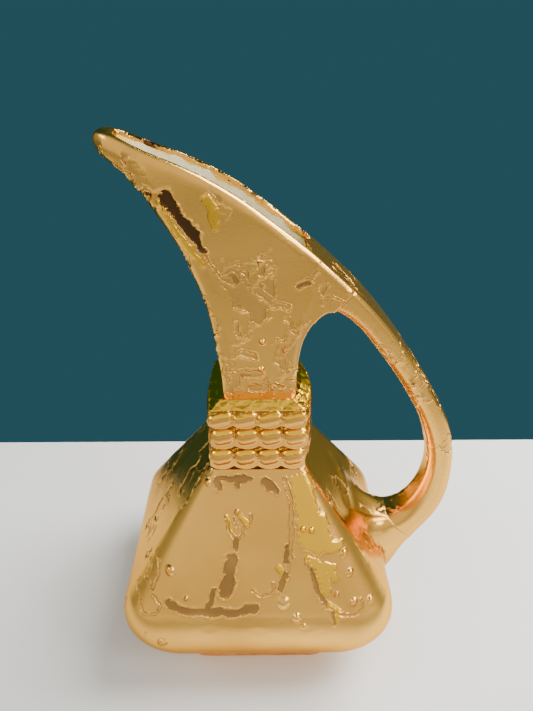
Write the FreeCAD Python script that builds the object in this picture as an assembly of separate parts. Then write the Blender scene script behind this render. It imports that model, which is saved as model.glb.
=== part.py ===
import FreeCAD, Part
import math
import os

# Tall pouring ewer of glazed ceramic: pyramid body, roped collar, beaked spout,
# loop handle.  Millimetres.  X to the handle side, Y to the back, Z up.
# Origin: middle of the resting face under the foot.

V = FreeCAD.Vector

# ---- body ----
body_width = 132.0          # across X at the belly
body_depth = 121.2          # across Y at the belly
body_top_z = 110.4          # flat top edge that carries the collar
body_top_width = 44.2
body_top_depth = 47.2
body_under_z = 11.2         # flat underside above the table
belly_radius = 26.2         # roll between underside and slanted side
belly_corner_radius = 28.8  # plan corner at the belly
top_corner_radius = 4.0     # plan corner at the top
body_wall = 4.6
belly_steps = 6             # sections used for the belly roll

# ---- foot ring ----
foot_width = 82.0
foot_depth = 88.4
foot_corner_radius = 13.0
foot_wall = 6.0
foot_taper = 1.6            # the ring is narrower at the table

# ---- collar: three roped bands ----
band_heights = (11.6, 11.2, 11.3)
band_z = [body_top_z + sum(band_heights[:k]) for k in range(4)]   # seams of the bands
band_front = 22.4           # half depth of the flat front and back
band_front_half_width = 21.6
band_side_bulge = 24.4      # half width at the middle of each side
band_side_shift = 1.2       # the sides bulge a little more on the handle side
band_roll = 1.3             # how far the band rolls in at its seams
collar_shoulder_drop = 3.0  # slope of the top band in to the neck
collar_shoulder_in = 4.2
bore_half_x = 16.6          # hollow through the collar
bore_half_y = 17.6
bore_corner = 3.0
overrun = 1.0               # cutters run this far past a face
strand_count = 4            # rope strands on the front, and as many on the back
strand_pitch = 10.7
strand_length = 12.4
strand_radii = (4.7, 4.6, 3.4)
strand_proud = (2.6, 2.6, 1.9)  # how far a strand stands out of each band
strand_tilt = 13.0
strand_lift = (0.5, 0.5, 0.0)  # the strands sit above the middle of their band
strand_stagger = 0.8        # the middle row steps sideways
ledge_proud = 1.5           # scalloped ledge under each row of strands
ledge_sag = 2.1             # depth of one scallop
ledge_lift = 0.3            # above the seam below it

# ---- neck and spout: each section runs from the keel to the rim side ----
# (keel x, keel z, rim x, rim z, half depth, keel corner, rim corner)
neck_sections = (
    (-15.4, 144.5, 17.3, 144.5, 14.6, 3.0, 3.0),
    (-15.8, 155.0, 17.6, 154.5, 14.3, 3.2, 3.0),
    (-17.5, 166.5, 18.3, 164.5, 13.9, 4.2, 3.0),
    (-20.0, 181.0, 21.2, 176.0, 13.6, 5.2, 3.0),
    (-23.8, 195.0, 25.0, 190.0, 13.4, 5.8, 2.6),
    (-28.4, 207.5, 26.0, 206.2, 13.3, 6.2, 2.2),
)
spout_sections = (
    (-28.4, 207.5, 26.0, 206.2, 13.3, 6.2, 2.2),
    (-32.5, 215.0, 12.5, 217.9, 13.5, 6.8, 2.2),
    (-37.2, 222.8, -2.0, 229.0, 13.4, 7.6, 2.2),
    (-42.3, 230.2, -18.0, 238.9, 12.8, 8.2, 2.1),
    (-47.8, 236.8, -32.5, 245.3, 11.8, 8.4, 1.9),
    (-52.8, 241.8, -43.5, 249.7, 10.4, 7.6, 1.7),
    (-56.8, 245.2, -51.6, 253.4, 8.0, 5.6, 1.5),
    (-59.3, 248.0, -57.0, 254.6, 4.8, 3.0, 1.3),
    (-60.4, 250.4, -59.6, 253.4, 2.4, 1.0, 1.0),
)
spout_wall = 4.2
trough_end_x = 19.4         # right end of the pouring opening
trough_end_z = 215.0        # just above the rim there
rim_clear = 5.0             # how far the trough cutter stands above the rim
glaze_thickness = 0.6       # ivory lining inside the neck and spout
glaze_drop = 1.8            # the lining stops this far below the rim
rim_lean = (0.55, 0.85)     # square to the rim, in X and Z

# ---- land between the spout opening and the handle ----
land_half_depth = 13.3
land_edge_radius = 2.4
land_left = 4.0             # the land starts inside the neck
land_under = ((17.7, 156.0), (18.5, 165.0), (21.2, 175.0), (25.6, 181.6))
land_over = ((28.8, 204.0), (16.6, 214.7), (4.0, 224.6))
seat_in = (32.0, 184.4)     # handle seat, under side
seat_out = (40.2, 193.4)    # handle seat, outer side

# ---- handle: inner x, inner z, outer x, outer z, half width, corners ----
handle_sections = (
    (32.0, 184.4, 40.2, 193.4, 13.3, 2.4, 4.0),
    (39.4, 179.6, 46.8, 186.4, 12.7, 2.5, 4.2),
    (48.4, 169.8, 55.8, 176.0, 12.0, 2.8, 4.3),
    (57.6, 157.3, 66.0, 162.6, 11.3, 3.2, 4.4),
    (66.6, 143.8, 75.6, 148.6, 10.5, 3.8, 4.6),
    (73.8, 131.0, 84.0, 135.0, 9.8, 4.4, 5.0),
    (79.4, 118.0, 90.8, 121.4, 9.3, 4.9, 5.4),
    (83.2, 105.0, 95.0, 106.6, 8.9, 5.0, 5.6),
    (83.9, 92.0, 96.4, 90.6, 8.7, 5.4, 5.8),
    (81.2, 79.0, 95.2, 74.6, 8.9, 5.8, 6.0),
    (75.6, 69.2, 90.4, 62.0, 9.5, 6.4, 6.4),
    (67.0, 63.8, 82.6, 50.2, 10.7, 7.2, 7.2),
    (59.4, 65.2, 75.8, 38.4, 12.4, 8.2, 8.2),
    (53.0, 69.0, 70.0, 29.4, 15.4, 9.8, 9.8),
    (47.4, 75.4, 62.6, 24.4, 19.0, 12.0, 12.0),
    (40.0, 79.0, 54.0, 28.0, 22.0, 14.0, 14.0),
)
root_section = 11           # the body carries the root as far as this section


def rounded_loop(points, radii):
    """Closed wire through the points; a corner with a radius is rounded by an arc."""
    count = len(points)
    corners = []
    for i, p in enumerate(points):
        a = points[i - 1].sub(p)
        b = points[(i + 1) % count].sub(p)
        a.normalize()
        b.normalize()
        half = a.getAngle(b) / 2.0
        r = radii[i]
        if r == 0.0:
            corners.append((p, None, p))
            continue
        reach = r / math.tan(half)
        inward = a.add(b)
        inward.normalize()
        top = p.add(inward * (r / math.sin(half) - r))
        corners.append((p.add(a * reach), top, p.add(b * reach)))
    edges = []
    for i in range(count):
        start, top, end = corners[i]
        if top is not None:
            edges.append(Part.Arc(start, top, end).toShape())
        nxt = corners[(i + 1) % count][0]
        edges.append(Part.LineSegment(end, nxt).toShape())
    return Part.Wire(edges)


def plan_rect(half_x, half_y, radius, z, shift=0.0):
    pts = [V(shift + sx * half_x, sy * half_y, z)
           for sx, sy in ((-1, -1), (1, -1), (1, 1), (-1, 1))]
    return rounded_loop(pts, [radius] * 4)


def cross_rect(x0, z0, x1, z1, half_y, r0, r1):
    """Section in a plane that contains Y, from (x0, z0) to (x1, z1)."""
    pts = [V(x0, -half_y, z0), V(x1, -half_y, z1), V(x1, half_y, z1), V(x0, half_y, z0)]
    return rounded_loop(pts, [r0, r1, r1, r0])


def loft(wires, ruled=False):
    return Part.makeLoft(wires, True, ruled)


def body_solid(inset):
    """Pyramid with a rolled belly; inset moves every wall inwards."""
    hx, hy = body_width / 2.0 - inset, body_depth / 2.0 - inset
    tx, ty = body_top_width / 2.0 - inset, body_top_depth / 2.0 - inset
    z0 = body_under_z + inset
    r = belly_radius - inset
    # tangent from the top edge to the belly roll, worked out in the X plane
    cx, cz = hx - r, z0 + r
    dx, dz = cx - tx, body_top_z - cz
    span = math.hypot(dx, dz)
    slant = math.atan2(dx, dz) + math.asin(r / span)
    wires = []
    for k in range(belly_steps + 1):
        t = (math.pi / 2.0 + slant) * k / belly_steps
        out = r * math.sin(t)
        z = cz - r * math.cos(t)
        share = (z - body_under_z) / (body_top_z - body_under_z)
        corner = belly_corner_radius * (1.0 - share) + top_corner_radius * share - inset
        wires.append(plan_rect(hx - r + out, hy - r + out, corner, z))
    bowl = loft(wires)
    low = plan_rect(hx - r + out, hy - r + out, corner, z)
    high = plan_rect(tx, ty, max(0.8, top_corner_radius - inset), body_top_z)
    return bowl.fuse(loft([low, high], True)).removeSplitter()


def band_plan(grow, z):
    """Flat front and back, bulged sides, crisp corners."""
    fx, fy = band_front_half_width + grow, band_front + grow
    bulge = band_side_bulge + grow
    corners = [V(-fx, -fy, z), V(fx, -fy, z), V(fx, fy, z), V(-fx, fy, z)]
    edges = []
    for i in range(4):
        a, b = corners[i], corners[(i + 1) % 4]
        if i % 2 == 0:
            edges.append(Part.LineSegment(a, b).toShape())
        else:
            side = 1.0 if i == 1 else -1.0
            edges.append(Part.Arc(a, V(band_side_shift + side * bulge, 0, z), b).toShape())
    return Part.Wire(edges)


def strand(radius):
    """One strand of the rope: a short tilted capsule."""
    half = strand_length / 2.0 - radius
    form = Part.makeCylinder(radius, 2 * half, V(-half, 0, 0), V(1, 0, 0))
    for x in (-half, half):
        form = form.fuse(Part.makeSphere(radius, V(x, 0, 0)))
    form.rotate(V(0, 0, 0), V(0, 1, 0), -strand_tilt)
    return form


def ledge(xs, z_low, z_high):
    """Plate under a row of strands whose lower edge is a chain of scallops."""
    half = strand_pitch / 2.0
    ends = [xs[0] - half] + [x + half for x in xs]
    cusp = z_low + ledge_sag
    front = band_front + ledge_proud
    edges = []
    for k, x in enumerate(xs):
        edges.append(Part.Arc(V(ends[k], -front, cusp), V(x, -front, z_low),
                              V(ends[k + 1], -front, cusp)).toShape())
    corners = [V(ends[-1], -front, cusp), V(ends[-1], -front, z_high),
               V(ends[0], -front, z_high), V(ends[0], -front, cusp)]
    for k in range(3):
        edges.append(Part.LineSegment(corners[k], corners[k + 1]).toShape())
    return Part.Face(Part.Wire(edges)).extrude(V(0, 2 * ledge_proud, 0))


def rope_band(index):
    z0, z1 = band_z[index], band_z[index + 1]
    is_top = index == 2
    z_turn = z1 - collar_shoulder_drop if is_top else z1
    middle = (z0 + z_turn) / 2.0
    ring = loft([band_plan(-band_roll, z0), band_plan(0.0, middle),
                 band_plan(-band_roll, z_turn)])
    if is_top:
        ring = ring.fuse(loft([band_plan(-band_roll, z_turn),
                               band_plan(-band_roll - collar_shoulder_in, z1)], True))
        first = neck_sections[0]
        high = plan_rect((first[2] - first[0]) / 2.0 - spout_wall, first[4] - spout_wall,
                         bore_corner - overrun, z1, (first[2] + first[0]) / 2.0)
    else:
        high = plan_rect(bore_half_x, bore_half_y, bore_corner, z1)
    ring = ring.cut(loft([plan_rect(bore_half_x, bore_half_y, bore_corner, z0), high], True))
    form = strand(strand_radii[index])
    step = strand_stagger if index == 1 else 0.0
    xs = [(k - (strand_count - 1) / 2.0) * strand_pitch + step for k in range(strand_count)]
    reach = band_front + strand_proud[index] - strand_radii[index]
    centre = middle + strand_lift[index]
    row = ledge(xs, z0 + ledge_lift, centre)
    for x in xs:
        one = form.copy()
        one.translate(V(x, -reach, centre))
        row = row.fuse(one)
    back = row.copy()
    back.rotate(V(0, 0, 0), V(0, 0, 1), 180)
    return ring.fuse(row).fuse(back)


def shrink(section, wall, lift=0.0):
    """Move the keel end in by wall; the rim end in, or up by lift, with square corners."""
    x0, z0, x1, z1, hy, r0, r1 = section
    dx, dz = x1 - x0, z1 - z0
    n = math.hypot(dx, dz)
    ux, uz = dx / n, dz / n
    end = lift if lift else -wall
    a = (x0 + ux * wall, z0 + uz * wall)
    b = (x1 + ux * end, z1 + uz * end)
    return (a[0], a[1], b[0], b[1], hy - wall, max(1.0, r0 - wall), 0.0)


def chamber(wall):
    """Hollow of the neck and the open trough of the spout."""
    lower = [shrink(s, wall) for s in neck_sections]
    # the last neck section stands through the rim at the right end of the opening
    x0, z0, x1, z1, hy, r0, r1 = lower[-1]
    lower[-1] = (x0, z0, trough_end_x - (wall - spout_wall), trough_end_z, hy, r0, 0.0)
    start = lower[0]
    lower.insert(0, (start[0], start[1] - overrun, start[2], start[3] - overrun) + start[4:])
    upper = [lower[-1]] + [shrink(s, wall, rim_clear) for s in spout_sections[1:-2]]
    return [loft([cross_rect(*s) for s in lower]), loft([cross_rect(*s) for s in upper])]


def horn():
    low = loft([cross_rect(*s) for s in neck_sections])
    high = loft([cross_rect(*s) for s in spout_sections])
    return low.fuse(high)


def land():
    """Solid web that carries the rim over into the handle."""
    arch = Part.BSplineCurve()
    under = [V(x, 0, z) for x, z in land_under + (seat_in,)]
    arch.interpolate(under, InitialTangent=V(0.05, 0, 1), FinalTangent=V(1, 0, -0.35))
    top = Part.BSplineCurve()
    over = [V(x, 0, z) for x, z in (seat_out,) + land_over]
    top.interpolate(over)
    inner_low = V(land_left, 0, under[0].z)
    edges = [arch.toShape(),
             Part.LineSegment(under[-1], over[0]).toShape(),
             top.toShape(),
             Part.LineSegment(over[-1], inner_low).toShape(),
             Part.LineSegment(inner_low, under[0]).toShape()]
    face = Part.Face(Part.Wire(edges))
    face.translate(V(0, -land_half_depth, 0))
    web = face.extrude(V(0, 2 * land_half_depth, 0))
    ridge = []
    for e in web.Edges:
        box = e.BoundBox
        if box.XLength > seat_in[0] - land_left and e.CenterOfMass.z > seat_out[1]:
            ridge.append(e)
    return web.makeFillet(land_edge_radius, ridge)


def beyond_root():
    """Large block on the handle's side of its root section."""
    inner_x, inner_z, outer_x, outer_z = handle_sections[root_section][:4]
    across = V(outer_x - inner_x, 0, outer_z - inner_z)
    across.normalize()
    along = V(-across.z, 0, across.x)       # square to the section, up the handle
    size = 4.0 * body_width
    low = V(inner_x, -size / 2.0, inner_z).sub(across * (size / 2.0))
    high = low.add(across * size)
    back = V(0, size, 0)
    face = Part.Face(Part.makePolygon([low, high, high.add(back), low.add(back), low]))
    return face.extrude(along * size)


arm = loft([cross_rect(s[0], s[1], s[2], s[3], s[4], s[6], s[5]) for s in handle_sections])
upper = beyond_root()
handle = arm.common(upper)
body_outer = body_solid(0.0)
body = body_outer.fuse(arm.cut(upper)).cut(body_solid(body_wall))
opening = loft([plan_rect(bore_half_x, bore_half_y, bore_corner, body_top_z - 2 * body_wall),
                plan_rect(bore_half_x, bore_half_y, bore_corner, body_top_z + overrun)], True)
body = body.cut(opening)

foot_low = plan_rect(foot_width / 2.0 - foot_taper, foot_depth / 2.0 - foot_taper,
                     foot_corner_radius, 0.0)
foot_top_z = body_under_z + 8.0     # hidden in the belly roll, cut off by it
foot_high = plan_rect(foot_width / 2.0, foot_depth / 2.0, foot_corner_radius, foot_top_z)
foot_hole = loft([plan_rect(foot_width / 2.0 - foot_taper - foot_wall,
                            foot_depth / 2.0 - foot_taper - foot_wall,
                            foot_corner_radius - foot_wall, -overrun),
                  plan_rect(foot_width / 2.0 - foot_wall, foot_depth / 2.0 - foot_wall,
                            foot_corner_radius - foot_wall, foot_top_z + overrun)], True)
foot = loft([foot_low, foot_high], True).cut(foot_hole).cut(body_outer)

outer = horn().fuse(land())
hollow = chamber(spout_wall)
lining_core = chamber(spout_wall + glaze_thickness)
neck_spout = outer
for cutter in hollow:
    neck_spout = neck_spout.cut(cutter)
span = 2.0 * body_width
above_collar = Part.makeBox(2 * span, 2 * span, span, V(-span, -span, band_z[3]))
neck_spout = neck_spout.common(above_collar).removeSplitter()

inner = hollow[0].fuse(hollow[1])
core = lining_core[0].fuse(lining_core[1])
below_rim = outer.copy()
below_rim.translate(V(-rim_lean[0] * glaze_drop, 0, -rim_lean[1] * glaze_drop))
lining = inner.cut(core).common(below_rim).common(above_collar)

pieces = {
    "foot": foot,
    "body": body,
    "lower_rope_band": rope_band(0),
    "middle_rope_band": rope_band(1),
    "upper_rope_band": rope_band(2),
    "neck_spout": neck_spout,
    "handle": handle,
    "glaze_lining": lining,
}

os.makedirs("parts", exist_ok=True)
for name, shape in pieces.items():
    solids = sorted(shape.Solids, key=lambda s: s.Volume, reverse=True)
    box = shape.BoundBox
    print("%-18s solids %d  vol %.0f  x %.1f..%.1f  y %.1f..%.1f  z %.1f..%.1f" % (
        name, len(solids), shape.Volume, box.XMin, box.XMax, box.YMin, box.YMax,
        box.ZMin, box.ZMax))
    solids[0].exportStep("parts/%s.step" % name)
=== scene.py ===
import bpy
import numpy as np
from mathutils import Matrix, Vector


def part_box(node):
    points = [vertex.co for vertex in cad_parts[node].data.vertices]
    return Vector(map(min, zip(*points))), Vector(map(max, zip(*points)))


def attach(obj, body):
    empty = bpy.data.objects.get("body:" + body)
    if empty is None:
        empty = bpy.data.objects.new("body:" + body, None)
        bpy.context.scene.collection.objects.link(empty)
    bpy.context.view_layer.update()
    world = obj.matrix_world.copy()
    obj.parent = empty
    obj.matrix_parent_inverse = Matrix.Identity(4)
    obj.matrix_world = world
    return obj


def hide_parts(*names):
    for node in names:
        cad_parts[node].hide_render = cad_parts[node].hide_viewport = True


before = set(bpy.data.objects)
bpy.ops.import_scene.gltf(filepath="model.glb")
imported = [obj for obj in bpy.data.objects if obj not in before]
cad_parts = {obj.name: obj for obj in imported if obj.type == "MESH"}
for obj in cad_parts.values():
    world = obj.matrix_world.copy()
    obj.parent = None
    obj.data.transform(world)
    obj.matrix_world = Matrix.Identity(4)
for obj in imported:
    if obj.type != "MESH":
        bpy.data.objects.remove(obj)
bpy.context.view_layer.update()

MM = 0.001

# ---- how finely each form is cast, in metres ----
BODY_CELL = 0.8 * MM
NECK_CELL = 0.65 * MM
HANDLE_CELL = 0.6 * MM
BAND_CELL = 0.4 * MM
FOOT_CELL = 0.6 * MM

# ---- relief of the crawled gold ----
BARE_DEPTH = 0.32 * MM      # the gold skin stands this far above the bare glaze
RIM_RISE = 0.30 * MM        # its edge is drawn up into a rim
POOL_RISE = 0.35 * MM       # thick pools
DROP_RISE = 0.80 * MM       # drops that ran and froze
SCALE_DEPTH = 0.22 * MM     # shallow scales where one layer of gold crept over another
EDGE_RISE = 0.16 * MM       # their turned-up edges
LUMPS = 1.1 * MM            # glaze pooled on the collar's shoulder
WAVINESS = 0.35 * MM        # slow unevenness of the hand-finished casting

# ---- where one form meets the next: a spot on the flat end in mm, and the way it faces ----
NECK_FOOT = ((0, 0, 144.5), (0, 0, -1.0))
HANDLE_TOP = ((32.0, 0, 184.4), (-9.0, 0, 8.2))
HANDLE_ROOT = ((67.0, 0, 63.8), (-13.6, 0, -15.6))
OVERLAP = 1.6 * MM          # a flat end is drawn on this far into its neighbour
OVERLAP_TAPER = 0.985       # and made this much narrower there

# ---- the pouring lip ----
RIM_LINE = ((26.0, 206.2), (12.5, 217.9), (-2.0, 229.0), (-18.0, 238.9), (-32.5, 245.3),
            (-43.5, 249.7), (-51.6, 253.4), (-57.0, 254.6), (-59.6, 253.4))   # X, Z, in mm
RIM_LEAN = 0.85             # distance square to the rim line for each mm straight below it
GOLD_INSIDE = 2.4 * MM      # the gold runs this far over the lip

EDGE_GOLD = (0.90, 0.70, 0.44, 1)   # what the lustre gives back at a glancing angle


# ---------------------------------------------------------------- node maths
class Wire:
    """A socket that takes Python arithmetic."""

    def __init__(self, kit, socket):
        self.kit = kit
        self.socket = socket

    def __add__(self, other):
        return self.kit.maths("ADD", self, other)

    __radd__ = __add__

    def __mul__(self, other):
        return self.kit.maths("MULTIPLY", self, other)

    __rmul__ = __mul__

    def __sub__(self, other):
        return self.kit.maths("SUBTRACT", self, other)

    def __rsub__(self, other):
        return self.kit.maths("SUBTRACT", other, self)

    def __truediv__(self, other):
        return self.kit.maths("DIVIDE", self, other)

    def __rtruediv__(self, other):
        return self.kit.maths("DIVIDE", other, self)


class Kit:
    """Adds nodes to one tree, of a material or of a relief."""

    def __init__(self, tree):
        self.tree = tree

    def add(self, kind, settings=None, **sockets):
        node = self.tree.nodes.new(kind)
        for name, value in (settings or {}).items():
            setattr(node, name, value)
        for name, value in sockets.items():
            key = int(name[1:]) if name[0] == "i" and name[1:].isdigit() else name.replace("_", " ")
            self.feed(node.inputs[key], value)
        return node

    def feed(self, socket, value):
        if isinstance(value, Wire):
            self.tree.links.new(value.socket, socket)
        else:
            socket.default_value = value

    def wire(self, node, output=0):
        return Wire(self, node.outputs[output])

    def maths(self, operation, a, b=0.0, c=0.0):
        node = self.add("ShaderNodeMath", {"operation": operation}, i0=a, i1=b, i2=c)
        return self.wire(node)

    def vector(self, operation, a, b=(0.0, 0.0, 0.0), **more):
        node = self.add("ShaderNodeVectorMath", {"operation": operation}, i0=a, i1=b, **more)
        return self.wire(node)

    def scaled(self, a, factor):
        return self.vector("SCALE", a, Scale=factor)

    def step(self, value, low, high):
        """0 below low, 1 above high, smooth between."""
        node = self.add("ShaderNodeMapRange", {"interpolation_type": "SMOOTHSTEP"},
                        Value=value, From_Min=low, From_Max=high)
        return self.wire(node)

    def noise(self, point, size, detail=3.0, rough=0.5, output="Fac"):
        """Noise whose lumps are about size metres across."""
        node = self.add("ShaderNodeTexNoise", Vector=point, Scale=1.0 / size, Detail=detail,
                        Roughness=rough)
        return self.wire(node, output)

    def attribute(self, name):
        """A value that write_layer put on the mesh, or 0 if it has none."""
        if self.tree.bl_idname == "GeometryNodeTree":
            node = self.add("GeometryNodeInputNamedAttribute", {"data_type": "FLOAT"}, Name=name)
            return self.wire(node, "Attribute")
        return self.wire(self.add("ShaderNodeAttribute", {"attribute_name": name}), "Fac")

    def mix(self, share, a, b):
        """Colour a, and b where share is 1."""
        node = self.add("ShaderNodeMix", {"data_type": "RGBA"}, i0=share)
        self.feed(node.inputs[6], a)
        self.feed(node.inputs[7], b)
        return self.wire(node, 2)


# ---------------------------------------------------------------- runs and pools
# Lines on the front that the crawled gold follows: reach from the line, then its points
# (X, Z), in mm. Along the bare ones the brown glaze shows; the cracks only part the gold.
BARE_RUNS = (
    (3.3, (-12.0, 73.4), (-13.4, 67.0), (-15.0, 61.5)),
    (1.9, (-41.0, 56.4), (-33.0, 54.0), (-20.8, 52.6), (-8.0, 53.0), (-1.5, 53.6)),
    (1.6, (-5.0, 55.0), (-0.5, 54.6)),
    (1.2, (-24.0, 53.5), (-21.8, 57.0), (-20.2, 62.0)),
    (1.2, (-17.0, 106.8), (-9.6, 106.6), (-3.0, 107.2)),
    (1.7, (-18.6, 106.4), (-17.8, 102.4)),
    (1.4, (-9.8, 106.6), (-9.4, 104.0)),
    (1.5, (3.0, 106.6), (5.4, 103.6), (8.0, 101.4)),
    (1.2, (13.0, 80.0), (13.4, 73.0)),
    (1.4, (12.4, 67.6), (10.2, 61.5)),
    (1.2, (24.2, 70.0), (27.0, 62.0), (30.6, 57.0)),
    (1.0, (34.6, 52.4), (35.2, 48.4)),
    (1.3, (-10.6, 81.6), (-10.8, 78.0)),
    (3.0, (-33.2, 231.4), (-30.0, 228.0)),
    (2.7, (-28.4, 224.6), (-25.8, 222.4), (-23.4, 218.0)),
    (1.4, (-22.8, 216.6), (-19.8, 211.0)),
    (1.4, (-9.8, 201.6), (-7.6, 199.0)),
    (1.1, (17.6, 195.6), (20.4, 197.0)),
    (0.9, (-6.4, 154.8), (-3.0, 155.4)),
)
CRACKS = (
    (1.5, (12.4, 106.0), (14.4, 98.0), (15.2, 84.0), (13.8, 73.0)),
    (1.3, (13.8, 74.0), (12.6, 68.0), (9.6, 61.5)),
    (1.3, (22.4, 74.0), (26.2, 63.0), (31.4, 55.0)),
    (1.0, (33.0, 55.0), (37.0, 52.0), (35.2, 48.4)),
    (1.0, (-14.8, 92.2), (-14.2, 86.0), (-10.6, 81.6), (-7.4, 84.4), (-8.0, 88.0)),
    (0.8, (-7.6, 87.6), (-4.6, 89.0), (-4.2, 92.2)),
    (0.8, (-11.0, 91.6), (-10.4, 88.0)),
    (1.0, (-2.0, 62.2), (1.8, 59.4), (6.4, 60.6), (7.0, 63.6)),
    (0.8, (-57.0, 57.0), (-54.0, 52.4), (-47.0, 51.0), (-44.6, 55.0), (-49.0, 57.6)),
    (0.8, (-49.0, 70.0), (-51.6, 62.0), (-48.0, 60.4), (-45.4, 66.0), (-46.4, 70.4)),
    (0.8, (38.4, 52.0), (43.0, 51.4), (47.4, 53.0), (47.0, 57.0)),
    (0.7, (-46.6, 38.6), (-44.6, 40.4), (-42.4, 38.4), (-44.8, 36.6)),
    (0.8, (-20.0, 210.6), (-17.6, 206.0), (-13.4, 200.4)),
    (1.7, (-12.4, 200.6), (-9.0, 198.4)),
    (1.3, (-5.4, 201.0), (-2.4, 198.0)),
    (2.0, (1.4, 194.4), (6.4, 189.0), (12.6, 187.4)),
    (1.2, (17.0, 196.6), (21.4, 198.6)),
    (0.8, (21.4, 198.6), (24.4, 203.4)),
    (0.7, (26.4, 191.6), (31.0, 192.2), (36.0, 189.8)),
    (1.8, (-8.8, 179.6), (-7.8, 174.0)),
    (1.9, (-7.0, 166.0), (-1.0, 164.6)),
    (0.9, (8.0, 172.0), (10.4, 171.0)),
    (3.0, (-5.6, 156.4), (0.6, 155.4)),
    (2.6, (-2.6, 149.2), (2.6, 148.8)),
    (1.7, (7.6, 151.0), (10.6, 149.4)),
    (1.8, (10.8, 164.0), (12.4, 158.0)),
    (1.5, (12.6, 182.0), (16.4, 175.6)),
    (1.3, (-13.6, 160.0), (-13.0, 154.0)),
    (1.0, (-52.0, 243.0), (-46.0, 239.6)),
    (0.8, (-44.4, 239.0), (-43.4, 233.0)),
)
# Places where it ran together into a thicker, yellower layer.
FRONT_POOLS = (
    (5.6, (19.6, 104.0), (22.6, 92.0)),
    (7.4, (24.0, 88.0), (27.0, 82.0)),
    (2.4, (31.0, 78.6), (38.0, 79.4)),
    (1.9, (22.4, 74.4), (27.0, 72.0), (34.4, 71.6)),
    (3.0, (28.4, 69.0), (31.0, 62.0)),
    (1.7, (33.6, 69.0), (35.0, 66.0)),
    (1.3, (33.0, 56.0), (37.4, 53.0), (36.0, 49.6)),
    (1.6, (-18.6, 231.0), (-15.6, 228.6), (-15.6, 221.0)),
    (1.0, (-14.4, 92.6), (-12.6, 86.0)),
    (1.2, (-8.0, 92.4), (-6.0, 88.6)),
    (1.6, (10.4, 70.6), (12.4, 66.4)),
    (1.3, (-35.6, 229.6), (-29.6, 218.6), (-24.4, 211.4), (-20.6, 205.0)),
)
# Single drops: X, Z and radius.
FRONT_DROPS = (
    (-40.5, 69.4, 2.2), (11.6, 56.6, 3.0), (17.8, 50.4, 2.2), (44.0, 56.6, 1.7),
    (39.6, 75.2, 1.8), (42.4, 67.6, 1.6), (52.0, 55.2, 1.5), (20.6, 86.6, 1.3),
    (24.6, 86.0, 1.3), (-22.6, 105.0, 1.5), (-33.0, 58.8, 1.1), (-49.0, 71.0, 1.4),
    (-9.6, 93.6, 1.2), (21.0, 47.0, 1.2), (36.0, 60.0, 1.2), (2.4, 171.6, 1.4),
    (2.0, 158.4, 1.4), (12.0, 167.4, 1.1), (-44.8, 38.4, 2.4),
)
FRONT_FACING = -0.25        # normals that point further to the front than this
WANDERS = ((9.0, 1.1), (3.4, 0.75))     # size and reach of the bends in the runs, in mm
WANDER_SEED = 4
CALM_TOP = 108.0            # below this height in mm, the front carries no chance marks
NECK_INSIDE = (11.5, 150.0) # half width and lowest height in mm of the hollow in the neck
FOOT_EVEN = 2.0             # height in mm of the even strip the pot stands on
SHOULDER = 136.0            # height in mm where the collar's sloping shoulder starts
GROOVE_INSET = 2.1          # the grooves lie further in than this, in mm


def line_share(x, z, line):
    """1 on the line, falling to 0 at its reach and below 0 outside."""
    reach, points = line[0], line[1:]
    nearest = np.full(len(x), 1000.0)
    for (ax, az), (bx, bz) in zip(points, points[1:]):
        dx, dz = bx - ax, bz - az
        along = np.clip(((x - ax) * dx + (z - az) * dz) / (dx * dx + dz * dz), 0.0, 1.0)
        nearest = np.minimum(nearest, np.hypot(x - ax - along * dx, z - az - along * dz))
    return 1.0 - nearest / reach


def places_mm(piece):
    count = len(piece.data.vertices)
    places = np.empty(count * 3)
    piece.data.vertices.foreach_get("co", places)
    return places.reshape(count, 3) / MM


def facings(piece):
    count = len(piece.data.vertices)
    normals = np.empty(count * 3)
    piece.data.vertices.foreach_get("normal", normals)
    return normals.reshape(count, 3)


def wandering(places):
    """Uneven shifts in X and Z, so that no run is straight or even."""
    table = np.random.RandomState(WANDER_SEED).uniform(-1.0, 1.0, (32, 32, 32, 2))
    shifts = np.zeros((len(places), 2))
    for lump, reach in WANDERS:
        corner = np.floor(places / lump).astype(int)
        inner = places / lump - corner
        inner = inner * inner * (3.0 - 2.0 * inner)
        for step in np.ndindex(2, 2, 2):
            share = np.prod(np.where(step, inner, 1.0 - inner), axis=1)
            x, y, z = ((corner + step) % len(table)).T
            shifts += reach * share[:, None] * table[x, y, z]
    return shifts


def write_layer(piece, name, values):
    layer = piece.data.attributes.new(name, "FLOAT", "POINT")
    layer.data.foreach_set("value", values.astype(np.float32))


def mark_surface(piece):
    """Writes how near each point lies to a run, crack, pool or drop, and how calm it is there."""
    places = places_mm(piece)
    front = np.clip((FRONT_FACING - facings(piece)[:, 1]) * 8.0, 0.0, 1.0)
    seen = np.flatnonzero(front)
    shifts = wandering(places[seen])
    x, z = places[seen, 0], places[seen, 2]
    wx, wz = x + shifts[:, 0], z + shifts[:, 1]
    near = {
        "bare_glaze_and_groove_shade": [line_share(wx, wz, line) for line in BARE_RUNS],
        "crack": [line_share(wx, wz, line) for line in CRACKS],
        "pool_and_top_highlight": [line_share(wx, wz, line) for line in FRONT_POOLS],
        "drop": [line_share(x, z, (r, (dx, dz), (dx, dz + 0.01)))
                 for dx, dz, r in FRONT_DROPS],
    }
    for name, shares in near.items():
        values = np.full(len(places), -1.0)
        values[seen] = np.maximum(np.max(shares, axis=0), -1.0) * front[seen] - (1.0 - front[seen])
        write_layer(piece, name, values)
    write_layer(piece, "calm", front * np.clip((CALM_TOP - places[:, 2]) / 6.0, 0.0, 1.0))
    write_layer(piece, "even", even_share(places, facings(piece)))


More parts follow.
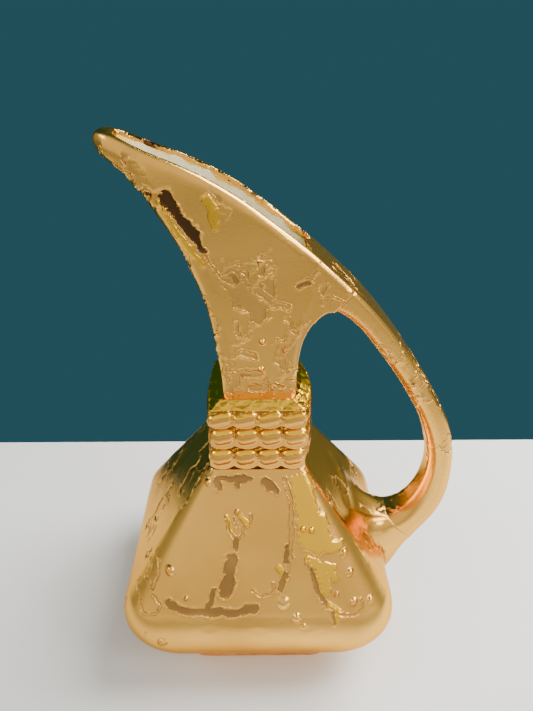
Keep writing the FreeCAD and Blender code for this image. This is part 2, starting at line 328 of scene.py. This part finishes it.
def even_share(places, towards):
    """1 where the surface stays even: at the pouring lip, inside it, and under the foot."""
    x, y, z = places.T
    inside = (z > NECK_INSIDE[1]) & (np.abs(y) < NECK_INSIDE[0]) & (y * towards[:, 1] < -0.5)
    lip = np.clip(lip_share(places) * 1.3, 0.0, 1.0)
    return np.where(inside | (z < FOOT_EVEN), 1.0, lip)


def mark_collar(piece, lowest, highest):
    """Painted shade: brown in the grooves between the strands. Painted highlight: yellow gold on
    what faces up.
    """
    places, towards = places_mm(piece), facings(piece)
    middle = (np.array(lowest) + np.array(highest)) / 2.0 / MM
    half = (np.array(highest) - np.array(lowest)) / 2.0 / MM
    inset = np.min(half[:2] - np.abs(places[:, :2] - middle[:2]), axis=1)
    # painted shade: deeper in than GROOVE_INSET, the grooves get the brown of bare glaze
    groove_shade = np.clip((inset - GROOVE_INSET) / 0.8, -1.0, 0.5)
    up = towards[:, 2]
    groove_shade[up > 0.5] = -1.0
    write_layer(piece, "bare_glaze_and_groove_shade", groove_shade)
    # painted highlight: what faces up is given the yellower, brighter gold of the pools
    write_layer(piece, "pool_and_top_highlight", np.clip((up - 0.45) * 3.0, -1.0, 1.0))
    on_shoulder = places[:, 2] > SHOULDER
    write_layer(piece, "lumpy", np.clip((up - 0.5) * 6.0, 0.0, 1.0) * on_shoulder)
    write_layer(piece, "calm", np.full(len(places), 1.0))
    for name in ("crack", "drop"):
        write_layer(piece, name, np.full(len(places), -1.0))


def weeping(kit, point):
    """How bare the glaze is, how high the rims stand, and the pools, drops and scales. On the
    collar, the bare glaze is painted shade in the grooves and the pools are a painted highlight on
    what faces up.
    """
    wander = kit.noise(point, 7 * MM, 2.0, output="Color")
    wander = kit.scaled(kit.vector("SUBTRACT", wander, (0.5, 0.5, 0.5)), 7 * MM)
    place = kit.vector("ADD", kit.vector("MULTIPLY", point, (1.0, 1.0, 0.55)), wander)
    ragged = kit.noise(point, 2.4 * MM, 3.0, 0.6) - 0.5
    calm = kit.attribute("calm")
    patches = (kit.noise(place, 30 * MM, 4.0, 0.55) - 0.655 - calm * 0.2) * 9.0
    run = kit.maths("MAXIMUM", kit.attribute("bare_glaze_and_groove_shade") + ragged * 1.5 - 0.15, patches)
    bare_glaze_and_groove_shade = kit.step(run, 0.0, 0.12)
    crack = kit.attribute("crack") + ragged * 1.2 - 0.25
    both = kit.maths("MAXIMUM", run, crack)
    rim = kit.step(both, -0.42, -0.05) * (1.0 - kit.step(both, -0.03, 0.10))
    crack = kit.step(crack, 0.0, 0.3) * (1.0 - bare_glaze_and_groove_shade)
    wavy = kit.noise(point, 5 * MM, 2.0) - 0.5
    pool_and_top_highlight = kit.step(kit.attribute("pool_and_top_highlight") + wavy * 0.7 + ragged * 0.5, 0.0, 0.22) * (1.0 - bare_glaze_and_groove_shade)
    cell = kit.add("ShaderNodeTexVoronoi", Vector=kit.vector("MULTIPLY", point, (1.0, 1.0, 0.8)),
                   Scale=1.0 / (17 * MM))
    chance = kit.wire(kit.add("ShaderNodeSeparateXYZ", i0=kit.wire(cell, "Color")), 0)
    reach = kit.wire(cell, "Distance") / (kit.step(chance, 0.80, 1.0) * 0.10 + 0.004)
    loose = kit.maths("MAXIMUM", 1.0 - reach * reach, 0.0)
    placed = kit.maths("MAXIMUM", kit.attribute("drop"), 0.0)
    drop = kit.maths("MAXIMUM", loose, placed * (2.0 - placed))
    field = kit.noise(place, 16 * MM, 3.0, 0.5) - calm * 0.3
    field = field + (kit.noise(point, 55 * MM, 1.0) - 0.5) * 0.35
    scale = kit.step(field, 0.585, 0.60)
    edge = kit.step(field, 0.555, 0.583) * (1.0 - kit.step(field, 0.585, 0.597))
    scale = kit.maths("MAXIMUM", scale, crack)
    return bare_glaze_and_groove_shade, rim, pool_and_top_highlight, drop, scale, edge


def relief_height(kit, bare_glaze_and_groove_shade, rim, pool_and_top_highlight, drop, scale, edge):
    """Height of the gold over the even form, in metres."""
    height = rim * RIM_RISE - bare_glaze_and_groove_shade * BARE_DEPTH + pool_and_top_highlight * POOL_RISE + drop * DROP_RISE
    height = height - scale * SCALE_DEPTH + edge * EDGE_RISE
    return height * (1.0 - kit.attribute("even"))


# ---------------------------------------------------------------- relief
def relief_tree():
    """Lifts and sinks a surface along its normal by the weeping pattern."""
    tree = bpy.data.node_groups.new("weeping_relief", "GeometryNodeTree")
    tree.interface.new_socket("Geometry", in_out="INPUT", socket_type="NodeSocketGeometry")
    tree.interface.new_socket("Geometry", in_out="OUTPUT", socket_type="NodeSocketGeometry")
    kit = Kit(tree)
    entry = kit.add("NodeGroupInput")
    point = kit.wire(kit.add("GeometryNodeInputPosition"))
    height = relief_height(kit, *weeping(kit, point))
    height = height + kit.attribute("lumpy") * (kit.noise(point, 3.4 * MM, 2.0) - 0.5) * LUMPS
    slow = (kit.noise(point, 22 * MM, 1.0) - 0.5) * WAVINESS
    height = height + slow * (1.0 - kit.attribute("even"))
    normal = kit.wire(kit.add("GeometryNodeInputNormal"))
    moved = kit.add("GeometryNodeSetPosition", Geometry=kit.wire(entry),
                    Offset=kit.scaled(normal, height))
    kit.add("NodeGroupOutput", i0=kit.wire(moved))
    return tree


# ---------------------------------------------------------------- finishes
def new_material(name):
    material = bpy.data.materials.new(name)
    material.use_nodes = True
    material.node_tree.nodes.clear()
    return material, Kit(material.node_tree)


def gold_lustre():
    """Mirror gold over brown glaze, crawled into patches, rims, pools and drops."""
    material, kit = new_material("weeping_gold_lustre")
    point = kit.wire(kit.add("ShaderNodeTexCoord"), "Object")
    bare_glaze_and_groove_shade, rim, pool_and_top_highlight, drop, scale, edge = weeping(kit, point)
    cloud = kit.noise(point, 45 * MM, 2.0)
    speck = kit.noise(point, 0.7 * MM, 2.0)
    skin = kit.mix(kit.step(cloud, 0.40, 0.62), (0.86, 0.455, 0.085, 1), (0.93, 0.515, 0.10, 1))
    skin = kit.mix(scale * 0.6, skin, (0.74, 0.40, 0.10, 1))
    # thicker, yellower gold of the pools; on the collar this is a painted highlight on all that
    # faces up
    skin = kit.mix(pool_and_top_highlight, skin, (1.0, 0.56, 0.035, 1))
    # painted shade: towards the bottom of the pot, 30 to 44 mm up, the skin is made darker and
    # redder, standing for the shade it mirrors near the floor
    height = kit.wire(kit.add("ShaderNodeSeparateXYZ", i0=point), 2)
    low = 1.0 - kit.step(height + (cloud - 0.5) * (20 * MM), 30 * MM, 44 * MM)
    skin = kit.mix(low * 0.6, skin, (0.72, 0.35, 0.055, 1))
    below = kit.mix(kit.step(cloud, 0.44, 0.60), (0.38, 0.20, 0.06, 1), (0.54, 0.29, 0.08, 1))
    below = kit.mix(kit.step(height, 204 * MM, 214 * MM), below, (0.10, 0.05, 0.02, 1))
    # brown glaze where the gold crawled away; in the collar's grooves this brown is painted shade
    colour = kit.mix(bare_glaze_and_groove_shade, skin, below)
    rough = 0.23 + bare_glaze_and_groove_shade * 0.12 - rim * 0.08 - pool_and_top_highlight * 0.05 - drop * 0.12 + (speck - 0.5) * 0.12
    grain = speck * (1.0 - kit.attribute("even")) * 0.06
    relief_mm = relief_height(kit, bare_glaze_and_groove_shade, rim, pool_and_top_highlight, drop, scale, edge) / MM + grain
    bump = kit.add("ShaderNodeBump", Strength=0.8, Distance=1.0 * MM, Height=relief_mm)
    shader = kit.add("ShaderNodeBsdfPrincipled", Base_Color=colour, Metallic=1.0,
                     Roughness=rough, Specular_Tint=EDGE_GOLD, Normal=kit.wire(bump))
    kit.add("ShaderNodeOutputMaterial", Surface=kit.wire(shader))
    return material


def satin_gold():
    """Thin, duller and redder gold where the foot was wiped."""
    material, kit = new_material("satin_foot_gold")
    point = kit.wire(kit.add("ShaderNodeTexCoord"), "Object")
    wiped = kit.noise(kit.vector("MULTIPLY", point, (0.35, 0.35, 1.0)), 3 * MM, 4.0, 0.6)
    speck = kit.noise(point, 0.6 * MM, 2.0)
    colour = kit.mix(kit.step(wiped, 0.40, 0.64), (0.94, 0.48, 0.12, 1), (0.62, 0.27, 0.06, 1))
    bump = kit.add("ShaderNodeBump", Strength=0.5, Distance=0.1 * MM, Height=speck)
    shader = kit.add("ShaderNodeBsdfPrincipled", Base_Color=colour, Metallic=0.8,
                     Specular_Tint=EDGE_GOLD, Roughness=0.36 + (speck - 0.5) * 0.2,
                     Normal=kit.wire(bump))
    kit.add("ShaderNodeOutputMaterial", Surface=kit.wire(shader))
    return material


def ivory_glaze():
    """Glossy ivory inside, with the gold of the lip running down over its edge."""
    material, kit = new_material("ivory_glaze")
    point = kit.wire(kit.add("ShaderNodeTexCoord"), "Object")
    parts = kit.add("ShaderNodeSeparateXYZ", i0=point)
    x, z = kit.wire(parts, 0), kit.wire(parts, 2)
    line = np.array(RIM_LINE[:-2]) * MM
    square, slope, level = (float(v) for v in np.polyfit(line[:, 0], line[:, 1], 2))
    below = (x * x * square + x * slope + level - z) * RIM_LEAN
    wavy = (kit.noise(point, 6 * MM, 3.0) - 0.5) * (5 * MM)
    gold = 1.0 - kit.step(below + wavy, GOLD_INSIDE * 0.94, GOLD_INSIDE * 1.06)
    cloud = kit.noise(point, 12 * MM, 3.0)
    ivory = kit.mix(kit.step(cloud, 0.4, 0.65), (0.80, 0.74, 0.50, 1), (0.88, 0.85, 0.68, 1))
    colour = kit.mix(gold, ivory, (0.95, 0.58, 0.12, 1))
    shader = kit.add("ShaderNodeBsdfPrincipled", Base_Color=colour, Metallic=gold,
                     Roughness=0.14 + gold * 0.08, Coat_Weight=0.5 - gold * 0.5)
    kit.add("ShaderNodeOutputMaterial", Surface=kit.wire(shader))
    return material


# ---------------------------------------------------------------- forms
def only(obj):
    """Selects this object alone and makes it the active one."""
    bpy.ops.object.select_all(action="DESELECT")
    obj.select_set(True)
    bpy.context.view_layer.objects.active = obj


def finish_modifier(obj, kind, **settings):
    only(obj)
    modifier = obj.modifiers.new(kind.lower(), kind)
    for name, value in settings.items():
        setattr(modifier, name, value)
    bpy.ops.object.modifier_apply(modifier=modifier.name)


def weigh(piece, shares):
    """Puts the shares in a vertex group named soft."""
    group = piece.vertex_groups.new(name="soft")
    for index in np.flatnonzero(shares > 0.01):
        group.add([int(index)], float(shares[index]), "REPLACE")


def lengthen(form, spot, facing):
    """Draws a flat end of the form out into its neighbour, a little narrower."""
    spot, facing = Vector(spot) * MM, Vector(facing).normalized()
    only(form)
    bpy.ops.object.mode_set(mode="EDIT")
    bpy.ops.mesh.select_all(action="DESELECT")
    bpy.ops.object.mode_set(mode="OBJECT")
    middle, count = Vector(), 0
    for face in form.data.polygons:
        in_plane = abs((face.center - spot).dot(facing)) < 0.05 * MM
        face.select = in_plane and face.normal.dot(facing) > 0.999
        if face.select:
            middle, count = middle + face.center, count + 1
    if not count:
        raise ValueError("no flat end at " + str(tuple(spot)))
    bpy.ops.object.mode_set(mode="EDIT")
    bpy.ops.mesh.select_mode(type="FACE")
    bpy.ops.mesh.extrude_region_move(TRANSFORM_OT_translate={"value": facing * OVERLAP})
    bpy.ops.transform.resize(value=(OVERLAP_TAPER,) * 3,
                             center_override=middle / count + facing * OVERLAP)
    bpy.ops.object.mode_set(mode="OBJECT")


def merged_copy(node, name):
    """A copy of a CAD form with its doubled points joined."""
    piece = bpy.data.objects.new(name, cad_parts[node].data.copy())
    bpy.context.scene.collection.objects.link(piece)
    only(piece)
    bpy.ops.object.mode_set(mode="EDIT")
    bpy.ops.mesh.select_all(action="SELECT")
    bpy.ops.mesh.remove_doubles(threshold=0.002 * MM)
    bpy.ops.object.mode_set(mode="OBJECT")
    return piece


def cast(node, name, cell, material, ends=(), soft=(), collar=False):
    """A copy of a CAD form in small even quads, softened at its lips and roots."""
    form = merged_copy(node, name + "_form")
    for spot, facing in ends:
        lengthen(form, spot, facing)
    piece = bpy.data.objects.new(name, form.data.copy())
    bpy.context.scene.collection.objects.link(piece)
    only(piece)
    piece.data.remesh_voxel_size = cell
    bpy.ops.object.voxel_remesh()
    if soft:
        share, rounds = soft
        weigh(piece, share(places_mm(piece)))
        finish_modifier(piece, "SHRINKWRAP", target=form, wrap_method="NEAREST_SURFACEPOINT",
                        vertex_group="soft", invert_vertex_group=True)
        finish_modifier(piece, "SMOOTH", factor=0.5, iterations=rounds, vertex_group="soft")
        piece.vertex_groups.clear()
    else:
        finish_modifier(piece, "SHRINKWRAP", target=form, wrap_method="NEAREST_SURFACEPOINT")
    finish_modifier(piece, "SMOOTH", factor=0.5, iterations=2)
    if collar:
        mark_collar(piece, *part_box(node))
    else:
        mark_surface(piece)
    finish_modifier(piece, "NODES", node_group=relief)
    bpy.data.objects.remove(form)
    piece.data.materials.clear()
    piece.data.materials.append(material)
    only(piece)
    bpy.ops.object.shade_smooth()
    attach(piece, "root")
    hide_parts(node)


def root_share(places):
    """1 where the handle's root runs into the body, fading towards the seam and the walls."""
    spot, facing = Vector(HANDLE_ROOT[0]), Vector(HANDLE_ROOT[1]).normalized()
    short_of_seam = (places - np.array(spot)) @ np.array(facing)
    x, y, z = places.T
    wide = np.clip((27.0 - np.abs(y)) / 8.0, 0.0, 1.0)
    high = np.clip((z - 22.0) / 10.0, 0.0, 1.0) * np.clip((96.0 - z) / 10.0, 0.0, 1.0)
    near_seam = np.clip((short_of_seam - 0.8) / 6.0, 0.0, 1.0)
    return near_seam * wide * high * np.clip((x - 34.0) / 6.0, 0.0, 1.0)


def lip_share(places):
    """1 at the pouring lip, fading a few millimetres down."""
    line = np.array(RIM_LINE[::-1])
    x, z = places[:, 0], places[:, 2]
    below = (np.interp(x, line[:, 0], line[:, 1]) - z) * RIM_LEAN
    return np.clip((4.6 - below) / 2.4, 0.0, 1.0) * np.clip((24.0 - x) / 5.0, 0.0, 1.0)


# ---------------------------------------------------------------- studio
TABLE_BACK = 0.135          # the pale top ends this far behind the pot, in metres
TABLE_REACH = 0.75          # and this far to the other sides


def table():
    """A pale cloth with a painted pool of light round the pot: it darkens away from the pot."""
    bpy.ops.object.select_all(action="DESELECT")
    bpy.ops.mesh.primitive_plane_add(size=2.0)
    top = bpy.context.object
    top.name = "pale_floor"
    top.data.transform(Matrix.Diagonal((TABLE_REACH, (TABLE_REACH + TABLE_BACK) / 2.0, 1.0, 1.0)))
    top.data.transform(Matrix.Translation((0, (TABLE_BACK - TABLE_REACH) / 2.0, 0)))
    material, kit = new_material("cloth_with_painted_light_pool")
    point = kit.wire(kit.add("ShaderNodeTexCoord"), "Object")
    near = kit.vector("SUBTRACT", point, (0.0, 0.06, 0.0))
    near = kit.vector("MULTIPLY", near, (0.6, 1.0, 1.0))
    far = kit.wire(kit.add("ShaderNodeVectorMath", {"operation": "LENGTH"}, i0=near), "Value")
    far = far + (kit.noise(point, 0.12, 2.0) - 0.5) * 0.03
    # painted pool of light: the cloth is coloured pale near the pot and darker further out
    colour = kit.mix(kit.step(far, 0.13, 0.30), (0.90, 0.89, 0.86, 1), (0.40, 0.39, 0.375, 1))
    shader = kit.add("ShaderNodeBsdfPrincipled", Base_Color=colour, Roughness=0.9)
    kit.add("ShaderNodeOutputMaterial", Surface=kit.wire(shader))
    top.data.materials.append(material)


def studio_dome():
    """Soft dome: dim behind the pot, light in front of it and to its sides."""
    world = bpy.data.worlds.new("studio_dome")
    bpy.context.scene.world = world
    world.use_nodes = True
    world.node_tree.nodes.clear()
    kit = Kit(world.node_tree)
    facing = kit.wire(kit.add("ShaderNodeTexCoord"), "Generated")
    towards = kit.add("ShaderNodeSeparateXYZ", i0=facing)
    across, depth, up = (kit.wire(towards, i) for i in range(3))
    front = kit.step(depth, 0.25, -0.45)
    right = kit.step(across, 0.40, 0.66) * 0.42
    left = kit.step(across, -0.66, -0.92) * 0.40
    light = kit.maths("MAXIMUM", front, kit.maths("MAXIMUM", right, left))
    light = light * (kit.step(up, -0.30, 0.25) * 0.6 + 0.4)
    light = light * (1.0 - kit.step(up, 0.60, 0.95) * 0.1)
    colour = kit.mix(light, (0.022, 0.084, 0.108, 1), (1.0, 0.96, 0.88, 1))
    shade = kit.add("ShaderNodeBackground", Color=colour, Strength=1.0)
    kit.add("ShaderNodeOutputWorld", Surface=kit.wire(shade))


def softbox(name, place, wide, tall, power):
    lamp = bpy.data.lights.new(name, "AREA")
    lamp.shape = "RECTANGLE"
    lamp.size = wide
    lamp.size_y = tall
    lamp.energy = power
    obj = bpy.data.objects.new(name, lamp)
    bpy.context.scene.collection.objects.link(obj)
    obj.location = place
    obj.rotation_euler = (Vector((0, 0, 0.1)) - obj.location).to_track_quat("-Z", "Y").to_euler()


def studio():
    table()
    studio_dome()
    softbox("overhead", (0.48, 0.16, 0.72), 0.6, 0.6, 15.0)
    softbox("window_right", (0.85, -0.55, 0.75), 0.25, 0.35, 3.0)
    softbox("window_left", (-0.9, -0.2, 0.8), 0.3, 0.3, 2.0)


def camera():
    """Looks down at the pot from close in front of it."""
    lens = bpy.data.cameras.new("camera")
    eye = bpy.data.objects.new("camera", lens)
    bpy.context.scene.collection.objects.link(eye)
    lens.sensor_fit = "VERTICAL"
    lens.sensor_height = 36.0
    lens.lens = 36.0 * 600.0 / 711.0
    eye.location = (2.24 * MM, -233.3 * MM, 294.4 * MM)
    target = Vector((4.27 * MM, 0, 156.9 * MM))
    eye.rotation_euler = (target - eye.location).to_track_quat("-Z", "Y").to_euler()
    lens.clip_start = 0.01
    bpy.context.scene.camera = eye


gold = gold_lustre()
ivory = ivory_glaze()
relief = relief_tree()
cast("body", "body_skin", BODY_CELL, gold, soft=(root_share, 200))
cast("neck_spout", "neck_spout_skin", NECK_CELL, gold, ends=(NECK_FOOT,),
     soft=(lip_share, 60))
cast("handle", "handle_skin", HANDLE_CELL, gold, ends=(HANDLE_TOP, HANDLE_ROOT))
for node in ("lower_rope_band", "middle_rope_band", "upper_rope_band"):
    cast(node, node + "_skin", BAND_CELL, gold, collar=True)
cast("foot", "foot_ring", FOOT_CELL, satin_gold())
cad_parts["glaze_lining"].data.materials[0] = ivory
studio()
camera()
